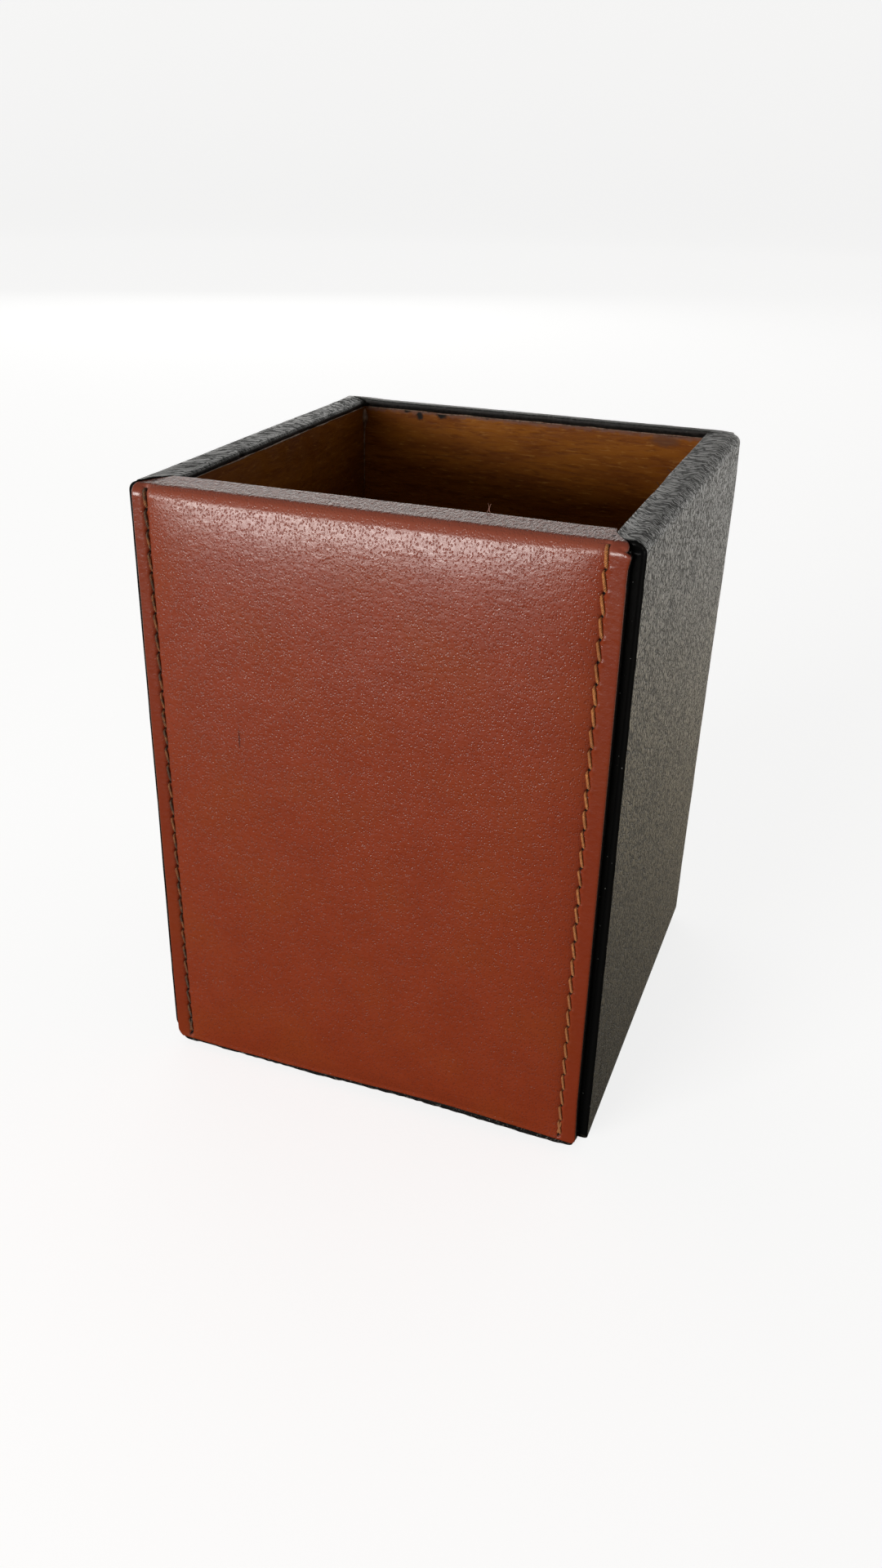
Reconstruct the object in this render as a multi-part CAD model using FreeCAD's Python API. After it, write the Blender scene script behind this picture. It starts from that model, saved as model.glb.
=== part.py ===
"""A square desk cup that also serves as a dice cup: a glued and pinned wooden box, open at the top.

Black leather wraps the left, back and right walls in one piece, folds over the rim and is tucked under
the base. The front carries a separate panel: foam on a black backing under red-brown leather, lock-stitched
down both sides, glued on proud of the box and folded over the front rim.

Frame: +X to the viewer's right, +Y towards the back, +Z up. The origin is the centre of the box that
bounds the whole cup, on the plane it stands on. Lengths are in millimetres.
"""
import FreeCAD
import Part
import os

# Driving dimensions
CUP_WIDTH = 76.0         # over the black leather
CUP_DEPTH = 76.0         # over the black leather, without the front panel
CUP_HEIGHT = 100.0
LEATHER = 1.0            # every leather sheet, the cards that level it and the base pad
BOARD = 4.5              # wooden side walls and front wall
BACK_BOARD = 2.0         # the back wall is thinner
FLOOR_THICKNESS = 5.0
BACKING = 0.8            # black sheet behind the stitched panel
FOAM_RISE = 1.2          # how far the foam lifts the middle of the panel

# Joinery
CORNER_RABBET = 2.5      # how deep the side boards are cut to take the front and back boards
FLOOR_RABBET = 2.0       # how deep the side and front walls are cut to take the floor
BACK_FLOOR_RABBET = 1.0
PIN_RADIUS = 0.5
PIN_LENGTH = 12.0
PIN_END_GAP = 14.0       # first and last pin of a corner, from the ends of the boards
PINS_PER_CORNER = 3
PINS_PER_FLOOR_EDGE = 2
FLOOR_PIN_SPACING = 40.0

# Leather work
BACK_CORNER_RADIUS = 2.5
RIM_RADIUS = 1.4
WOOD_EASE = 1.5          # rounded back corners of the wood, under the leather
TUCK_WIDTH = 10.0        # leather tucked under the base
LEFT_MITRE_SETBACK = 1.8     # where the rim's front mitres meet the front plane, in from the outside
RIGHT_MITRE_SETBACK = 3.0
FRONT_CUT_EASE = 0.4
EDGE_STRIP_WIDTH = 4.0   # black strips that face the front ends of the side boards
EDGE_STRIP_RECESS = 0.2

# Front panel, seen from the front; it was glued on a little askew
PANEL_LEFT = -36.6
PANEL_RIGHT_TOP = 35.7
PANEL_RIGHT_BOTTOM = 36.5
PANEL_BOTTOM = 1.2
RIDGE_RADIUS = 0.8
FOAM_MARGIN = 1.6        # from a stitch line to the foam
FOAM_TOP_GAP = 2.0       # from the top or bottom of the backing to the foam
FOAM_SLOPE_WIDTH = 6.0   # how wide the bevel round the foam is

# Stitching
STITCHES = 31
THREAD_RADIUS = 0.28
BOBBIN_RADIUS = 0.20
LEG_RADIUS = 0.20
STITCH_GROOVE_DEPTH = 0.30
STITCH_GROOVE_WIDTH = 0.80
STITCH_GAP = 0.55        # from the end of one stitch to the start of the next
SEAM_LEFT = (-34.0, -34.6)   # x of the left seam at the panel's bottom and top
SEAM_RIGHT = (34.0, 32.8)    # x of the right seam at the panel's bottom and top
SEAM_END_GAP = 0.9

# Base
BASE_PAD_INSET = 1.5
BASE_PAD_FRONT = 0.4     # how far the pad runs out in front of the box, under the panel
BASE_PAD_RADIUS = 1.5

# Worked out from the above
HALF = CUP_WIDTH / 2
PANEL_RISE = BACKING + LEATHER + FOAM_RISE
BACK = (CUP_DEPTH + PANEL_RISE) / 2
FRONT = BACK - CUP_DEPTH
WOOD_HALF = HALF - LEATHER
WOOD_FRONT = FRONT + LEATHER
WOOD_BACK = BACK - LEATHER
TUCK_BOTTOM = LEATHER                      # the tucked leather lies on the base pad
WOOD_BOTTOM = TUCK_BOTTOM + LEATHER
WOOD_TOP = CUP_HEIGHT - LEATHER
CAVITY_HALF = WOOD_HALF - BOARD
CAVITY_FRONT = WOOD_FRONT + BOARD
CAVITY_BACK = WOOD_BACK - BACK_BOARD
BACKING_FACE = FRONT - BACKING             # the front of the backing, which the panel leather lies on
PANEL_FACE = BACKING_FACE - LEATHER        # the front of the panel leather where no foam lifts it
GROOVE_BOTTOM = PANEL_FACE + STITCH_GROOVE_DEPTH


def vec(x, y, z):
    return FreeCAD.Vector(x, y, z)


def block(x0, x1, y0, y1, z0, z1):
    """A box between two corners."""
    return Part.makeBox(x1 - x0, y1 - y0, z1 - z0, vec(x0, y0, z0))


def prism(points, direction):
    """A solid pushed out from a closed outline of straight lines."""
    outline = Part.makePolygon(points + [points[0]])
    return Part.Face(outline).extrude(direction)


def rod(start, end, radius):
    """A round bar from one point to another."""
    along = end - start
    return Part.makeCylinder(radius, along.Length, start, along)


def edges_where(shape, test):
    """The straight edges whose midpoint and direction pass a test."""
    found = []
    for edge in shape.Edges:
        start, end = edge.Vertexes[0].Point, edge.Vertexes[-1].Point
        if test((start + end) * 0.5, (end - start).normalize()):
            found.append(edge)
    return found


def near(value, target):
    return abs(value - target) < 0.01


# Wooden box

def back_corner(mid, along):
    return abs(along.z) > 0.99 and mid.y > 0


def wood_envelope():
    """The outside of the wooden box, with its back corners eased."""
    solid = block(-WOOD_HALF, WOOD_HALF, WOOD_FRONT, WOOD_BACK, WOOD_BOTTOM, WOOD_TOP)
    return solid.makeFillet(WOOD_EASE, edges_where(solid, back_corner))


def floor_board():
    return block(
        -CAVITY_HALF - FLOOR_RABBET, CAVITY_HALF + FLOOR_RABBET,
        CAVITY_FRONT - FLOOR_RABBET, CAVITY_BACK + BACK_FLOOR_RABBET,
        WOOD_BOTTOM, WOOD_BOTTOM + FLOOR_THICKNESS,
    )


def cross_board(y0, thickness):
    """The front or back board, which sits in the side boards' rabbets."""
    reach = CAVITY_HALF + CORNER_RABBET
    return block(-reach, reach, y0, y0 + thickness, WOOD_BOTTOM, WOOD_TOP)


def side_board(side):
    """A full-depth board; side is -1 for the left and 1 for the right."""
    x0, x1 = sorted((side * CAVITY_HALF, side * WOOD_HALF))
    board = block(x0, x1, WOOD_FRONT, WOOD_BACK, WOOD_BOTTOM, WOOD_TOP)
    return board.common(wood_envelope())


def corner_pins():
    """Headless pins driven through the side boards into the ends of the front and back boards."""
    pins = []
    rise = (WOOD_TOP - WOOD_BOTTOM - 2 * PIN_END_GAP) / (PINS_PER_CORNER - 1)
    for side in (-1, 1):
        for y in (WOOD_FRONT + BOARD / 2, WOOD_BACK - BACK_BOARD / 2):
            for step in range(PINS_PER_CORNER):
                z = WOOD_BOTTOM + PIN_END_GAP + step * rise
                start = vec(side * WOOD_HALF, y, z)
                pins.append(rod(start, start - vec(side * PIN_LENGTH, 0, 0), PIN_RADIUS))
    return pins


def floor_pins():
    """The same pins, driven through each wall into the edge of the floor."""
    pins = []
    z = WOOD_BOTTOM + FLOOR_THICKNESS / 2
    middle = (CAVITY_FRONT + CAVITY_BACK) / 2
    for step in range(PINS_PER_FLOOR_EDGE):
        offset = (step - (PINS_PER_FLOOR_EDGE - 1) / 2) * FLOOR_PIN_SPACING
        for side in (-1, 1):
            start = vec(side * WOOD_HALF, middle + offset, z)
            pins.append(rod(start, start - vec(side * PIN_LENGTH, 0, 0), PIN_RADIUS))
        pins.append(rod(vec(offset, WOOD_FRONT, z), vec(offset, WOOD_FRONT + PIN_LENGTH, z), PIN_RADIUS))
        pins.append(rod(vec(offset, WOOD_BACK, z), vec(offset, WOOD_BACK - PIN_LENGTH, z), PIN_RADIUS))
    return pins


def wooden_box():
    """The five boards, each cut for what is let into it."""
    floor = floor_board()
    front = cross_board(WOOD_FRONT, BOARD).cut(floor)
    back = cross_board(CAVITY_BACK, BACK_BOARD).cut(floor)
    left = side_board(-1).cut([floor, front, back])
    right = side_board(1).cut([floor, front, back])
    pins = Part.makeCompound(corner_pins() + floor_pins())
    boards = {"front_board": front, "back_board": back, "left_board": left, "right_board": right,
              "floor_board": floor}
    return {name: board.cut(pins) for name, board in boards.items()}


# Black leather

def rim_outline():
    """The front wall's share of the rim, between its two mitres and out to the panel's face."""
    return [
        (-CAVITY_HALF, CAVITY_FRONT),
        (CAVITY_HALF, CAVITY_FRONT),
        (HALF - RIGHT_MITRE_SETBACK, FRONT),
        (PANEL_RIGHT_TOP, PANEL_FACE),
        (PANEL_LEFT, PANEL_FACE),
        (-HALF + LEFT_MITRE_SETBACK, FRONT),
    ]


def front_rim():
    """The slab of rim that belongs to the front panel's leather."""
    return prism([vec(x, y, WOOD_TOP) for x, y in rim_outline()], vec(0, 0, LEATHER))


def is_rim_or_base_edge(edge):
    """True for the top and bottom outlines of the filleted block, but not along its front."""
    box = edge.BoundBox
    level = near(box.ZMin, box.ZMax) and (near(box.ZMin, CUP_HEIGHT) or near(box.ZMin, TUCK_BOTTOM))
    along_front = near(box.YMin, FRONT) and near(box.YMax, FRONT)
    return level and not along_front


def leather_wrap():
    """One sheet round the left, back and right walls, over the rim and under the base."""
    solid = block(-HALF, HALF, FRONT, BACK, TUCK_BOTTOM, CUP_HEIGHT)
    solid = solid.makeFillet(BACK_CORNER_RADIUS, edges_where(solid, back_corner))
    soft = [e for e in solid.Edges if is_rim_or_base_edge(e)]
    solid = solid.makeFillet(RIM_RADIUS, soft)
    cavity = block(-CAVITY_HALF, CAVITY_HALF, CAVITY_FRONT, CAVITY_BACK, WOOD_BOTTOM, CUP_HEIGHT)
    under = block(-HALF + TUCK_WIDTH, HALF - TUCK_WIDTH, FRONT, BACK - TUCK_WIDTH, TUCK_BOTTOM, WOOD_BOTTOM)
    front = block(-WOOD_HALF, WOOD_HALF, FRONT, WOOD_FRONT, TUCK_BOTTOM, WOOD_TOP)
    solid = solid.cut([wood_envelope(), cavity, under, front, front_rim()])
    cut_edges = edges_where(solid, lambda mid, along: abs(along.z) > 0.99 and near(mid.y, FRONT)
                            and near(abs(mid.x), HALF))
    return solid.makeFillet(FRONT_CUT_EASE, cut_edges)


# What levels the box's front and underside

def front_infill_card():
    """Card on the front board, between the edge strips, that brings it up to the leather's face."""
    half = WOOD_HALF - EDGE_STRIP_WIDTH
    return block(-half, half, FRONT, WOOD_FRONT, WOOD_BOTTOM, WOOD_TOP)


def edge_strip(side):
    """A narrow glossy black strip on the front end of a side board."""
    x0, x1 = sorted((side * (WOOD_HALF - EDGE_STRIP_WIDTH), side * WOOD_HALF))
    return block(x0, x1, FRONT + EDGE_STRIP_RECESS, WOOD_FRONT, WOOD_BOTTOM, WOOD_TOP)


def base_infill_card():
    """Card between the tucked leather edges, under the floor."""
    half = HALF - TUCK_WIDTH
    return block(-half, half, WOOD_FRONT, BACK - TUCK_WIDTH, TUCK_BOTTOM, WOOD_BOTTOM)


def base_pad():
    """The black pad the cup stands on. Its front edge shows below the panel."""
    half = HALF - BASE_PAD_INSET
    pad = block(-half, half, FRONT - BASE_PAD_FRONT, BACK - BASE_PAD_INSET, 0, LEATHER)
    return pad.makeFillet(BASE_PAD_RADIUS, edges_where(pad, lambda mid, along: abs(along.z) > 0.99))


# Front panel

def panel_right(z):
    """x of the panel's right edge, which leans a little."""
    share = (z - PANEL_BOTTOM) / (CUP_HEIGHT - PANEL_BOTTOM)
    return PANEL_RIGHT_BOTTOM + share * (PANEL_RIGHT_TOP - PANEL_RIGHT_BOTTOM)


def panel_sheet(y0, y1, top):
    """A flat sheet with the panel's outline."""
    corners = [
        vec(PANEL_LEFT, y0, PANEL_BOTTOM),
        vec(panel_right(PANEL_BOTTOM), y0, PANEL_BOTTOM),
        vec(panel_right(top), y0, top),
        vec(PANEL_LEFT, y0, top),
    ]
    return prism(corners, vec(0, y1 - y0, 0))


def bevelled_field(y_base, y_top, grow):
    """The foam's shape: a rectangle at y_base that narrows to y_top. grow widens it on all sides."""
    left = max(SEAM_LEFT) + FOAM_MARGIN - grow
    right = min(SEAM_RIGHT) - FOAM_MARGIN + grow
    bottom = PANEL_BOTTOM + FOAM_TOP_GAP - grow
    top = WOOD_TOP - FOAM_TOP_GAP + grow
    wires = []
    for y, inset in ((y_base, 0), (y_top, FOAM_SLOPE_WIDTH)):
        corners = [
            vec(left + inset, y, bottom + inset),
            vec(right - inset, y, bottom + inset),
            vec(right - inset, y, top - inset),
            vec(left + inset, y, top - inset),
        ]
        wires.append(Part.makePolygon(corners + [corners[0]]))
    return Part.makeLoft(wires, True, True)


def front_padding():
    return bevelled_field(BACKING_FACE, BACKING_FACE - FOAM_RISE, 0)


def seam_point(seam, z, y):
    """A point of a seam, given as its x at the panel's bottom and top, at height z."""
    share = (z - PANEL_BOTTOM) / (CUP_HEIGHT - PANEL_BOTTOM)
    return vec(seam[0] + share * (seam[1] - seam[0]), y, z)


def stitch_heights():
    """The height of the lower and upper end of each stitch."""
    bottom = PANEL_BOTTOM + SEAM_END_GAP
    pitch = (CUP_HEIGHT - RIDGE_RADIUS - SEAM_END_GAP - bottom) / STITCHES
    return [(bottom + i * pitch, bottom + (i + 1) * pitch - STITCH_GAP) for i in range(STITCHES)]


def stitch_legs(seam):
    """The thread that goes in at the lower end of each stitch, through leather and backing."""
    legs = []
    for low, high in stitch_heights():
        front = seam_point(seam, low + THREAD_RADIUS, GROOVE_BOTTOM - THREAD_RADIUS)
        legs.append(rod(front, vec(front.x, FRONT - 2 * BOBBIN_RADIUS, front.z), LEG_RADIUS))
    return legs


def top_thread(seam):
    """The stitches seen from the front, each with the leg that pulls it down."""
    y = GROOVE_BOTTOM - THREAD_RADIUS
    stitches = []
    for (low, high), leg in zip(stitch_heights(), stitch_legs(seam)):
        start = seam_point(seam, low + THREAD_RADIUS, y)
        end = seam_point(seam, high - THREAD_RADIUS, y)
        bar = rod(start, end, THREAD_RADIUS)
        ends = [Part.makeSphere(THREAD_RADIUS, point) for point in (start, end)]
        stitches.append(bar.fuse(ends + [leg]).removeSplitter())
    return Part.makeCompound(stitches)


def bobbin_thread(seam):
    """The lower thread, which runs behind the backing and holds every leg."""
    low, high = stitch_heights()[0][0], stitch_heights()[-1][1]
    y = FRONT - BOBBIN_RADIUS
    return rod(seam_point(seam, low, y), seam_point(seam, high, y), BOBBIN_RADIUS)


def seam_groove(seam):
    """The furrow that the stitches press into the leather."""
    half = STITCH_GROOVE_WIDTH / 2
    side = vec(half, 0, 0)
    low = seam_point(seam, PANEL_BOTTOM + SEAM_END_GAP / 2, GROOVE_BOTTOM)
    high = seam_point(seam, CUP_HEIGHT - RIDGE_RADIUS - SEAM_END_GAP / 2, GROOVE_BOTTOM)
    return prism([low - side, low + side, high + side, high - side], vec(0, -2 * LEATHER, 0))


def front_leather():
    """Red-brown leather over the foam, folded over the front rim."""
    sheet = panel_sheet(PANEL_FACE, BACKING_FACE, CUP_HEIGHT)
    solid = sheet.fuse(front_rim()).removeSplitter()
    ridge = edges_where(solid, lambda mid, along: abs(along.x) > 0.99 and near(mid.y, PANEL_FACE)
                        and near(mid.z, CUP_HEIGHT))
    solid = solid.makeFillet(RIDGE_RADIUS, ridge)
    solid = solid.fuse(bevelled_field(PANEL_FACE, PANEL_FACE - FOAM_RISE, LEATHER / 2))
    solid = solid.cut(front_padding())
    for seam in (SEAM_LEFT, SEAM_RIGHT):
        solid = solid.cut([seam_groove(seam)] + stitch_legs(seam))
    return solid


def front_panel_backing():
    sheet = panel_sheet(BACKING_FACE, FRONT, WOOD_TOP)
    for seam in (SEAM_LEFT, SEAM_RIGHT):
        sheet = sheet.cut(stitch_legs(seam) + [bobbin_thread(seam)])
    return sheet


def all_nodes():
    nodes = wooden_box()
    nodes["corner_pins"] = Part.makeCompound(corner_pins())
    nodes["floor_pins"] = Part.makeCompound(floor_pins())
    nodes["leather_wrap"] = leather_wrap()
    nodes["front_infill_card"] = front_infill_card()
    nodes["base_infill_card"] = base_infill_card()
    nodes["base_pad"] = base_pad()
    nodes["front_panel_backing"] = front_panel_backing()
    nodes["front_padding"] = front_padding()
    nodes["front_leather"] = front_leather()
    for side, name in ((-1, "left"), (1, "right")):
        nodes["front_edge_strip_" + name] = edge_strip(side)
    for seam, name in ((SEAM_LEFT, "left"), (SEAM_RIGHT, "right")):
        nodes["stitching_thread_" + name] = top_thread(seam)
        nodes["bobbin_thread_" + name] = bobbin_thread(seam)
    return nodes


def main():
    os.makedirs("parts", exist_ok=True)
    for name, shape in all_nodes().items():
        shape.exportStep(os.path.join("parts", name + ".step"))
        box = shape.BoundBox
        print(f"{name}: {len(shape.Solids)} solids, valid {shape.isValid()}, volume {shape.Volume:.1f},"
              f" x {box.XMin:.2f} {box.XMax:.2f} y {box.YMin:.2f} {box.YMax:.2f} z {box.ZMin:.2f} {box.ZMax:.2f}")


main()
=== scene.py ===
"""The looks of a square leather desk and dice cup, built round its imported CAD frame.

The wooden boards and the hidden fixings keep their CAD meshes. The two leathers, the gloss strips, the base
pad, the foam and the stitching are replaced by the finer meshes made here. Lengths are in millimetres until
a mesh is made, in the CAD frame: +X to the right of the red front, +Y to the back, +Z up.
"""
import math

import bmesh
import bpy
import numpy as np
from mathutils import Matrix, Vector


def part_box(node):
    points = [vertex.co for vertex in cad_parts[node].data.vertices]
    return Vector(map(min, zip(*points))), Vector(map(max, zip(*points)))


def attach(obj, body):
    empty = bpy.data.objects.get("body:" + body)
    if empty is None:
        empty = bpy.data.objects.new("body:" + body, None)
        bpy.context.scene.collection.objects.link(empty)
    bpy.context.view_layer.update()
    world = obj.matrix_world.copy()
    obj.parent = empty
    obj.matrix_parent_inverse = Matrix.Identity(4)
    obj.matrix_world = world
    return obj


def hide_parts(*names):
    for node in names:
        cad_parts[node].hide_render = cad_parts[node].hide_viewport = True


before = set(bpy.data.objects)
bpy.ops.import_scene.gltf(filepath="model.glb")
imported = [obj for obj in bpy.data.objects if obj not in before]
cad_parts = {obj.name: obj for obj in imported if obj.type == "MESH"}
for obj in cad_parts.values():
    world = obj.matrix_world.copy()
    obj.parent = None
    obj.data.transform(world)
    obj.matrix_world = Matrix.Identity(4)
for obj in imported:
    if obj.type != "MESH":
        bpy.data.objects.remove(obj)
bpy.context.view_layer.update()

MM = 0.001
BODY = "root"
FLAT_MAP = "along_sheet"


def box_mm(node):
    """Lowest and highest corner of a CAD node, in millimetres."""
    low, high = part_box(node)
    return np.array(low) / MM, np.array(high) / MM


# Places taken from the frame
WRAP_LOW, WRAP_HIGH = box_mm("leather_wrap")
RED_LOW, RED_HIGH = box_mm("front_leather")
BACKING_LOW, _ = box_mm("front_panel_backing")
FOAM_LOW, FOAM_HIGH = box_mm("front_padding")
PAD_LOW, PAD_HIGH = box_mm("base_pad")
FRONT_BOARD_LOW, FRONT_BOARD_HIGH = box_mm("front_board")
CAVITY_LEFT = box_mm("left_board")[1][0]
CAVITY_RIGHT = box_mm("right_board")[0][0]
CAVITY_FRONT = FRONT_BOARD_HIGH[1]
CAVITY_BACK = box_mm("back_board")[0][1]
WOOD_TOP = FRONT_BOARD_HIGH[2]
WOOD_BOTTOM = FRONT_BOARD_LOW[2]
TOP = WRAP_HIGH[2]
LEATHER = TOP - WOOD_TOP
WALL = WRAP_HIGH[0] - CAVITY_RIGHT       # board and leather together
BACK_WALL = WRAP_HIGH[1] - CAVITY_BACK
FRONT = WRAP_LOW[1]                      # the front plane of the black leather
PANEL_FACE = BACKING_LOW[1] - LEATHER    # the red leather's face where no foam lifts it
CROWN = PANEL_FACE - RED_LOW[1]

# Front panel
PANEL_BOTTOM = RED_LOW[2]
PANEL_LEFT = RED_LOW[0]
PANEL_RIGHT = RED_HIGH[0]
PANEL_LEAN = 0.8                         # how much narrower the panel is at the top right
RIDGE_RADIUS = 1.6
EDGE_ROUND = 0.25
FRONT_LENGTH = TOP - RIDGE_RADIUS - PANEL_BOTTOM      # along the sheet, up to the ridge's rounding
ARC_LENGTH = RIDGE_RADIUS * math.pi / 2
RIM_LENGTH = CAVITY_FRONT - PANEL_FACE - RIDGE_RADIUS
SHEET_LENGTH = FRONT_LENGTH + ARC_LENGTH + RIM_LENGTH

# Stitching
STITCHES = 31
STITCH_PITCH = 3.14
LOWEST_STITCH = 1.3                     # from the panel's bottom to its lower end
STITCH_GAP = 0.42
TOP_STITCH_REACH = 1.7                   # how far the top stitch goes over the ridge
THREAD_RADIUS = 0.21
CAD_THREAD_RADIUS = 0.28

# Black wrap
RIM_ROUND = 1.5
BASE_ROUND = 1.25
TUCK_WIDTH = 10.0
RIM_FROM = TUCK_WIDTH + TOP - RIM_ROUND  # about how far along the wrap the rim's rounding starts


def seam_ends(node):
    """x of a leaning seam at its bottom and top. Both seams lean to the left."""
    low, high = box_mm(node)
    return high[0] - CAD_THREAD_RADIUS, low[0] + CAD_THREAD_RADIUS


SEAM_LEFT = seam_ends("stitching_thread_left")
SEAM_RIGHT = seam_ends("stitching_thread_right")


# Numbers and noise

def smooth(value):
    """0 below 0, 1 above 1, with soft ends."""
    t = np.clip(value, 0, 1)
    return t * t * (3 - 2 * t)


def fading(distance, reach):
    """1 at no distance, falling evenly to 0 at reach."""
    return np.clip(1 - distance / reach, 0, 1)


def bell(distance, width):
    return np.exp(-(distance / width) ** 2)


NOISE_CELLS = 128


def noise(u, v, seed):
    """Smooth noise from -1 to 1 with one cell for each unit of u and v."""
    u, v = np.broadcast_arrays(np.asarray(u, float), np.asarray(v, float))
    cells = np.random.default_rng(seed).uniform(-1, 1, (NOISE_CELLS, NOISE_CELLS))
    iu, iv = np.floor(u).astype(int), np.floor(v).astype(int)
    fu, fv = smooth(u - iu), smooth(v - iv)
    corner = [[cells[(iu + a) % NOISE_CELLS, (iv + b) % NOISE_CELLS] for b in (0, 1)] for a in (0, 1)]
    low = corner[0][0] * (1 - fv) + corner[0][1] * fv
    high = corner[1][0] * (1 - fv) + corner[1][1] * fv
    return low * (1 - fu) + high * fu


# Mesh helpers

def add_object(name, data):
    made = bpy.data.objects.new(name, data)
    bpy.context.scene.collection.objects.link(made)
    return made


def add_piece(name, points, faces, *materials, face_slots=None):
    """A mesh object from points in millimetres, riding on the cup."""
    mesh = bpy.data.meshes.new(name)
    mesh.from_pydata([tuple(p) for p in np.asarray(points) * MM], [], faces)
    for material in materials:
        mesh.materials.append(material)
    if face_slots is not None:
        mesh.polygons.foreach_set("material_index", face_slots)
    mesh.polygons.foreach_set("use_smooth", [True] * len(mesh.polygons))
    mesh.validate()
    mesh.update()
    piece = add_object(name, mesh)
    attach(piece, BODY)
    return piece


def stand_in(piece, node_name):
    """The piece stands for a CAD node, whose mesh is hidden."""
    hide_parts(node_name)


def set_uv(piece, flat):
    """Stores distances along a sheet, in millimetres, for its first points. The others are on the inside."""
    mesh = piece.data
    layer = mesh.uv_layers.new(name=FLAT_MAP)
    corner_points = np.empty(len(mesh.loops), dtype=int)
    mesh.loops.foreach_get("vertex_index", corner_points)
    flat = flat.reshape(-1, 2)
    known = corner_points < len(flat)
    corners = np.zeros((len(corner_points), 2))
    corners[known] = flat[corner_points[known]]
    layer.data.foreach_set("uv", corners.ravel())


def upright_grid(low, high, columns, rows):
    """x and z over a box's front."""
    return np.meshgrid(np.linspace(low[0], high[0], columns), np.linspace(low[2], high[2], rows))


def together(*parts):
    """Points from their coordinates."""
    return np.stack(np.broadcast_arrays(*parts), axis=-1)


def unit(vectors):
    return vectors / np.linalg.norm(vectors, axis=-1, keepdims=True)


def quads(index):
    """Faces between the lines of a grid of point numbers."""
    corners = [index[:-1, :-1], index[:-1, 1:], index[1:, 1:], index[1:, :-1]]
    return np.stack(corners, axis=-1).reshape(-1, 4).tolist()


def thick_sheet(outer, inner, step):
    """Points and faces of a closed sheet. outer and inner are grids of points, and the hidden inner side uses
    only every step-th line. Returns points, faces and for each face its side: 0 out, 1 in, and 2 to 5 the cut
    edges at the first row, last row, first column and last column."""
    rows, cols = outer.shape[:2]
    keep_rows = sorted(set(range(0, rows, step)) | {rows - 1})
    keep_cols = sorted(set(range(0, cols, step)) | {cols - 1})
    kept = np.zeros((rows, cols), bool)
    kept[np.ix_(keep_rows, keep_cols)] = True
    kept[[0, -1], :] = True
    kept[:, [0, -1]] = True
    above = np.arange(rows * cols).reshape(rows, cols)
    below = np.zeros_like(above)
    below[kept] = rows * cols + np.arange(kept.sum())
    faces = quads(above)
    sides = [0] * len(faces)
    for r0, r1 in zip(keep_rows, keep_rows[1:]):
        for c0, c1 in zip(keep_cols, keep_cols[1:]):
            low = range(c0, c1) if r0 == 0 else (c0,)
            right = range(r0, r1) if c1 == cols - 1 else (r0,)
            high = range(c1, c0, -1) if r1 == rows - 1 else (c1,)
            left = range(r1, r0, -1) if c0 == 0 else (r1,)
            loop = [below[r0, c] for c in low] + [below[r, c1] for r in right]
            loop += [below[r1, c] for c in high] + [below[r, c0] for r in left]
            faces.append(loop[::-1])
            sides.append(1)
    rims = [(grid[0, ::-1], grid[-1], grid[:, 0], grid[::-1, -1]) for grid in (above, below)]
    for side, (over, under) in enumerate(zip(*rims), 2):
        faces += quads(np.array([over, under]))
        sides += [side] * (len(over) - 1)
    return np.concatenate([outer.reshape(-1, 3), inner[kept]]), faces, sides


def ring_faces(rings, count):
    """Faces between rings of count points each, then one over the first ring and one over the last."""
    index = np.arange(rings * count).reshape(rings, count)
    return quads(np.hstack([index, index[:, :1]])) + [index[0, ::-1].tolist(), index[-1].tolist()]


def tube(path, radii, sides):
    """Points and faces of a round bar along a list of points."""
    path = np.asarray(path, float)
    along = unit(np.gradient(path, axis=0))
    reference = np.array([0.0, 1.0, 0.0]) if abs(along[0][1]) < 0.8 else np.array([1.0, 0.0, 0.0])
    points = []
    side = np.cross(along[0], reference)
    for point, direction, radius in zip(path, along, radii):
        side = unit(side - direction * np.dot(side, direction))
        other = np.cross(direction, side)
        for angle in 2 * math.pi * np.arange(sides) / sides:
            points.append(point + radius * (math.cos(angle) * side + math.sin(angle) * other))
    return points, ring_faces(len(path), sides)


def joined(parts):
    """One list of points and faces from several."""
    points, faces = [], []
    for part_points, part_faces in parts:
        start = len(points)
        points.extend(part_points)
        faces.extend([i + start for i in face] for face in part_faces)
    return points, faces


# Material helpers

class Value:
    """What a shader node gives out. Sums, differences and products of values make Math nodes."""

    def __init__(self, socket):
        self.socket = socket

    def __add__(self, other):
        return maths("ADD", self, other)

    def __sub__(self, other):
        return maths("SUBTRACT", self, other)

    def __rsub__(self, other):
        return maths("SUBTRACT", other, self)

    def __mul__(self, other):
        return maths("MULTIPLY", self, other)


def add_node(tree, kind, inputs=None, **settings):
    """Adds a shader node. A Value given as an input is linked, and anything else is set on the socket."""
    made = tree.nodes.new("ShaderNode" + kind)
    for key, value in settings.items():
        setattr(made, key, value)
    for key, value in (inputs or {}).items():
        if isinstance(value, Value):
            tree.links.new(value.socket, made.inputs[key])
        else:
            made.inputs[key].default_value = value
    return made


def node(kind, inputs, output=0, **settings):
    """What a new node gives out. The node joins the tree that its inputs come from."""
    tree = next(value.socket.id_data for value in inputs.values() if isinstance(value, Value))
    return Value(add_node(tree, kind, inputs, **settings).outputs[output])


def new_material(name, **values):
    """A material and its shader, with plain values set on the shader's own sockets."""
    material = bpy.data.materials.new(name)
    material.use_nodes = True
    shader = material.node_tree.nodes["Principled BSDF"]
    for key, value in values.items():
        shader.inputs[key.replace("_", " ")].default_value = value
    return material, shader


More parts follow.
